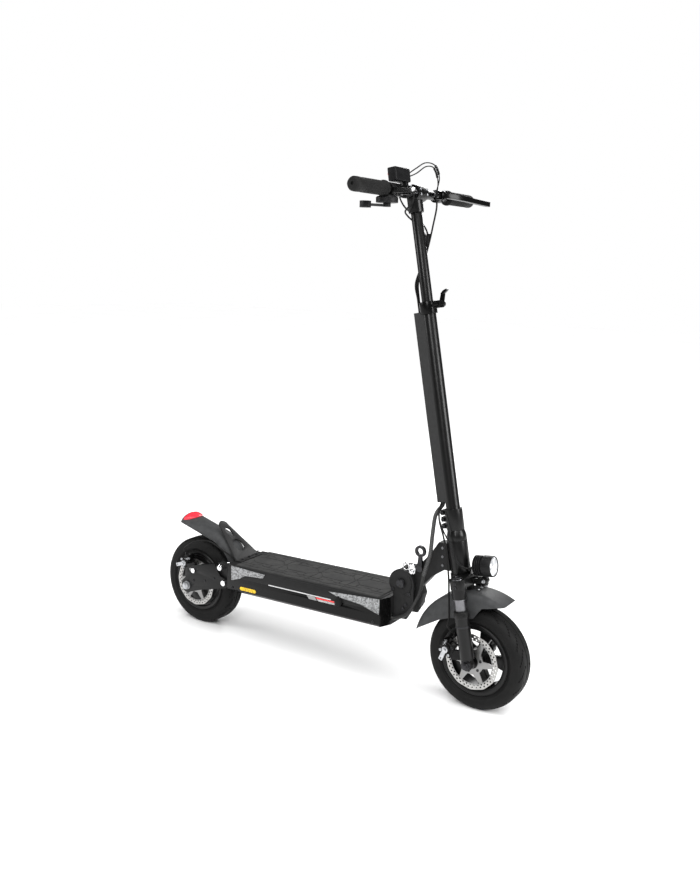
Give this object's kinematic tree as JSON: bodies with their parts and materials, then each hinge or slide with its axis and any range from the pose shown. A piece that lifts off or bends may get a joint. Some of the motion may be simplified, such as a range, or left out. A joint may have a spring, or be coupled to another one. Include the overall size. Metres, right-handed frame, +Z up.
{
  "type": "electric kick scooter",
  "caption": "Folding electric kick scooter with a flat deck, sprung fork and swing arm, disc brakes, a hub motor, a telescopic stem and a straight handlebar.",
  "frame": {"origin": "on the ground, half way between the two axles, in the middle plane", "axes": "+X forward, +Y to the rider's left, +Z up"},
  "size_m": [1.164, 0.57, 1.3082],
  "materials": {
    "alloy_black": "satin black coat",
    "alloy_dark": "matt dark coat",
    "steel": "bright zinc",
    "rotor": "ground steel",
    "tyre": "matt",
    "rubber": "matt",
    "mat": "grooved mat",
    "plastic": "fine texture",
    "fender": "matt",
    "red_lens": "clear red",
    "clear_strip": "faceted",
    "battery_wrap": "shrink wrap",
    "red_plastic": "gloss"
  },
  "bodies": {
    "deck": {"deck_shell": "alloy_black", "deck_lid": "alloy_dark", "deck_mat": "mat", "side_lights": "clear_strip", "battery_pack": "battery_wrap", "controller": "steel", "charge_port": "plastic", "kick_plate": "alloy_dark", "rear_fender": "fender", "tail_light": "red_lens", "front_bracket": "alloy_dark", "rear_bracket": "alloy_dark", "hinge_pin": "steel", "rear_brake_cable": "rubber"},
    "charge_cap": {"charge_cap": "rubber"},
    "kickstand": {"kickstand": "alloy_black"},
    "swing_arm": {"swing_arm": "alloy_dark", "swing_bolts": "steel", "rear_axle": "steel", "rear_caliper": "alloy_black"},
    "rear_caliper_arm": {"rear_caliper_arm": "steel"},
    "rear_wheel": {"hub_motor": "alloy_black", "rear_tyre": "tyre", "rear_rotor": "rotor"},
    "shock_body": {"shock_bodies": "steel"},
    "shock_rod": {"shock_rods": "steel", "shock_springs": "alloy_black"},
    "neck": {"neck_bracket": "alloy_dark", "head_tube": "alloy_black", "main_harness": "rubber"},
    "fold_latch": {"fold_latch": "steel"},
    "fork": {"fork_crown": "alloy_black", "stanchions": "steel", "front_fender": "fender", "headset": "alloy_black", "lower_stem": "alloy_black", "height_clamp": "alloy_black", "front_brake_cable": "rubber", "bar_cables": "rubber"},
    "headlight": {"headlight": "alloy_black"},
    "clamp_lever": {"clamp_lever": "alloy_black"},
    "fork_lowers": {"fork_lowers": "alloy_black", "front_axle": "steel", "front_caliper": "alloy_black", "fork_springs": "steel"},
    "front_caliper_arm": {"front_caliper_arm": "steel"},
    "front_wheel": {"front_rim": "alloy_black", "front_tyre": "tyre", "front_rotor": "rotor"},
    "mast": {"inner_tube": "alloy_black", "bar_clamp": "alloy_black", "handlebar": "alloy_black", "grips": "rubber", "lever_perches": "alloy_black", "throttle_housing": "plastic", "display": "plastic"},
    "brake_lever_right": {"brake_lever_right": "alloy_black"},
    "brake_lever_left": {"brake_lever_left": "alloy_black"},
    "thumb_throttle": {"thumb_throttle": "plastic"},
    "power_button": {"power_button": "red_plastic"}
  },
  "joints": [
    {"name": "fold", "type": "hinge", "parent": "deck", "child": "neck", "pos_m": [0.24385, 0, 0.27569], "axis": [0, -1, 0], "range_deg": [0, 82], "deforming": ["main_harness"]},
    {"name": "fold_latch_turn", "type": "hinge", "parent": "neck", "child": "fold_latch", "pos_m": [0.28985, -0.022, 0.32169], "axis": [0, 1, 0], "range_deg": [-10, 40]},
    {"name": "steering", "type": "hinge", "parent": "neck", "child": "fork", "pos_m": [0.39554, 0, 0.32838], "axis": [-0.184, 0, 0.9829], "range_deg": [-55, 55]},
    {"name": "mast_height", "type": "slide", "parent": "fork", "child": "mast", "axis": [-0.184, 0, 0.9829], "range_m": [-0.12, 0.02], "deforming": ["bar_cables"]},
    {"name": "clamp_lever_turn", "type": "hinge", "parent": "fork", "child": "clamp_lever", "pos_m": [0.30222, 0, 0.98685], "axis": [0, 1, 0], "range_deg": [0, 95]},
    {"name": "headlight_tilt", "type": "hinge", "parent": "fork", "child": "headlight", "pos_m": [0.46181, 0, 0.32217], "axis": [0, 1, 0], "range_deg": [-8, 15]},
    {"name": "fork_travel", "type": "slide", "parent": "fork", "child": "fork_lowers", "axis": [-0.184, 0, 0.9829], "range_m": [0, 0.025], "stiffness_N_per_m": 12000, "springref_m": -0.014, "deforming": ["fork_springs", "front_brake_cable"]},
    {"name": "front_wheel_spin", "type": "hinge", "parent": "fork_lowers", "child": "front_wheel", "pos_m": [0.4545, 0, 0.1275], "axis": [0, 1, 0], "continuous": true},
    {"name": "front_caliper_pull", "type": "hinge", "parent": "fork_lowers", "child": "front_caliper_arm", "pos_m": [0.39559, -0.067, 0.15251], "axis": [0, 1, 0], "range_deg": [0, 27]},
    {"name": "swing", "type": "hinge", "parent": "deck", "child": "swing_arm", "pos_m": [-0.31185, 0, 0.16531], "axis": [0, 1, 0], "range_deg": [0, 10], "stiffness_Nm_per_rad": 220, "springref_deg": -8.59, "deforming": ["rear_brake_cable"]},
    {"name": "rear_wheel_spin", "type": "hinge", "parent": "swing_arm", "child": "rear_wheel", "pos_m": [-0.4545, 0, 0.1275], "axis": [0, 1, 0], "continuous": true},
    {"name": "rear_caliper_pull", "type": "hinge", "parent": "swing_arm", "child": "rear_caliper_arm", "pos_m": [-0.47639, -0.067, 0.18764], "axis": [0, 1, 0], "range_deg": [0, 27]},
    {"name": "shock_turn", "type": "hinge", "parent": "deck", "child": "shock_body", "pos_m": [-0.32285, 0, 0.20931], "axis": [0, 1, 0], "range_deg": [-0.5, 10.81]},
    {"name": "shock_stroke", "type": "slide", "parent": "shock_body", "child": "shock_rod", "axis": [0.9593, 0, 0.2825], "range_m": [-0.0005, 0.0085], "deforming": ["shock_springs"]},
    {"name": "rear_brake_pull", "type": "hinge", "parent": "mast", "child": "brake_lever_right", "pos_m": [0.25842, -0.084, 1.25421], "axis": [0, 0, -1], "range_deg": [0, 18], "stiffness_Nm_per_rad": 1.2, "springref_deg": -17.19},
    {"name": "front_brake_pull", "type": "hinge", "parent": "mast", "child": "brake_lever_left", "pos_m": [0.25842, 0.084, 1.25421], "axis": [0, 0, 1], "range_deg": [0, 18], "stiffness_Nm_per_rad": 1.2, "springref_deg": -17.19},
    {"name": "throttle_press", "type": "hinge", "parent": "mast", "child": "thumb_throttle", "pos_m": [0.23042, -0.138, 1.22821], "axis": [0, 0, -1], "range_deg": [0, 40], "stiffness_Nm_per_rad": 0.12, "springref_deg": -17.19},
    {"name": "power_press", "type": "slide", "parent": "mast", "child": "power_button", "axis": [1, 0, 0], "range_m": [0, 0.0012], "stiffness_N_per_m": 900, "springref_m": -0.0006},
    {"name": "kickstand_turn", "type": "hinge", "parent": "deck", "child": "kickstand", "pos_m": [0.02015, 0.098, 0.17316], "axis": [0, -1, 0], "range_deg": [0, 105]},
    {"name": "charge_cap_turn", "type": "hinge", "parent": "deck", "child": "charge_cap", "pos_m": [0.08561, -0.08348, 0.21922], "axis": [-0.9994, 0, -0.0342], "range_deg": [0, 110]}
  ],
  "couplings": [
    {"joint": "front_caliper_pull", "follows": "front_brake_pull", "ratio": 1.5},
    {"joint": "rear_caliper_pull", "follows": "rear_brake_pull", "ratio": 1.5},
    {"joint": "shock_turn", "follows": "swing", "ratio": 1.0205},
    {"joint": "shock_stroke", "follows": "swing", "m_per_rad": 0.045245}
  ]
}
